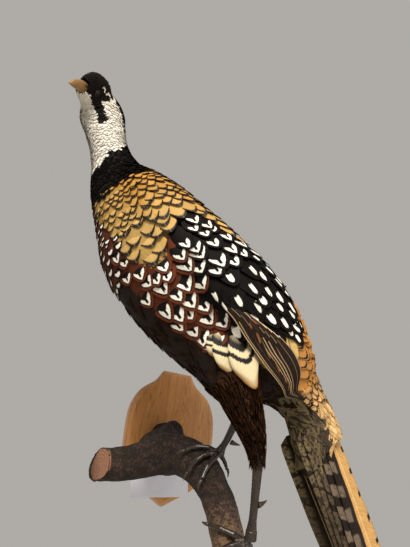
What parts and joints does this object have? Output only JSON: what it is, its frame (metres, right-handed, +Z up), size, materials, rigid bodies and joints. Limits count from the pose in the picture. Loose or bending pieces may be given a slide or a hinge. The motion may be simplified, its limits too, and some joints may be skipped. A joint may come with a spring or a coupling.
{
  "type": "taxidermy pheasant on a wall plaque",
  "caption": "Life-size mounted cock Reeves's pheasant gripping a cut branch on a shield plaque, with its head turned to the room and its long tail hanging down.",
  "frame": {"origin": "centre of the shield plaque's flat back face, on the wall", "axes": "+Y into the wall, along the normal of the plaque's back; +Z up; +X to the right of someone who faces the wall, towards the tail"},
  "size_m": [0.7085, 0.3247, 1.3701],
  "materials": {
    "bark": "rough dry bark",
    "bill_horn": "semi-gloss horn",
    "card_white": "matte card",
    "claw_horn": "semi-gloss horn",
    "eye_glass": "glossy dark glass, opaque",
    "honey_wood": "satin varnish over straight grain",
    "leg_skin": "scaled, varnished skin",
    "plume_black": "soft black plumage",
    "plume_chestnut": "chestnut, white and black plumage",
    "plume_gold": "golden plumage with black edges",
    "plume_tail": "barred tail feathers",
    "plume_thigh": "dark brown plumage",
    "plume_white": "soft white plumage",
    "plume_wing": "brown flight feathers and black and white coverts"
  },
  "bodies": {
    "root": {"belly_rump": "plume_thigh", "bill_lower": "bill_horn", "bill_upper": "bill_horn", "branch_arm": "bark", "branch_bend": "bark", "branch_stem": "bark", "branch_stub": "bark", "claw_hind_left": "claw_horn", "claw_hind_right": "claw_horn", "claw_inner_left": "claw_horn", "claw_inner_right": "claw_horn", "claw_middle_left": "claw_horn", "claw_middle_right": "claw_horn", "claw_outer_left": "claw_horn", "claw_outer_right": "claw_horn", "eye_left": "eye_glass", "eye_right": "eye_glass", "flanks_back": "plume_chestnut", "foot_left": "leg_skin", "foot_right": "leg_skin", "head": "plume_black", "label_card": "card_white", "mantle_breast": "plume_gold", "neck_collar": "plume_black", "neck_white": "plume_white", "plaque_shield": "honey_wood", "spur_left": "claw_horn", "spur_right": "claw_horn", "tail_coverts": "plume_gold", "tail_left_1": "plume_tail", "tail_left_2": "plume_tail", "tail_left_3": "plume_tail", "tail_left_4": "plume_tail", "tail_left_5": "plume_tail", "tail_right_1": "plume_tail", "tail_right_2": "plume_tail", "tail_right_3": "plume_tail", "tail_right_4": "plume_tail", "tail_right_5": "plume_tail", "tarsus_left": "leg_skin", "tarsus_right": "leg_skin", "thigh_left": "plume_thigh", "thigh_right": "plume_thigh", "wing_left": "plume_wing", "wing_right": "plume_wing"}
  },
  "joints": []
}
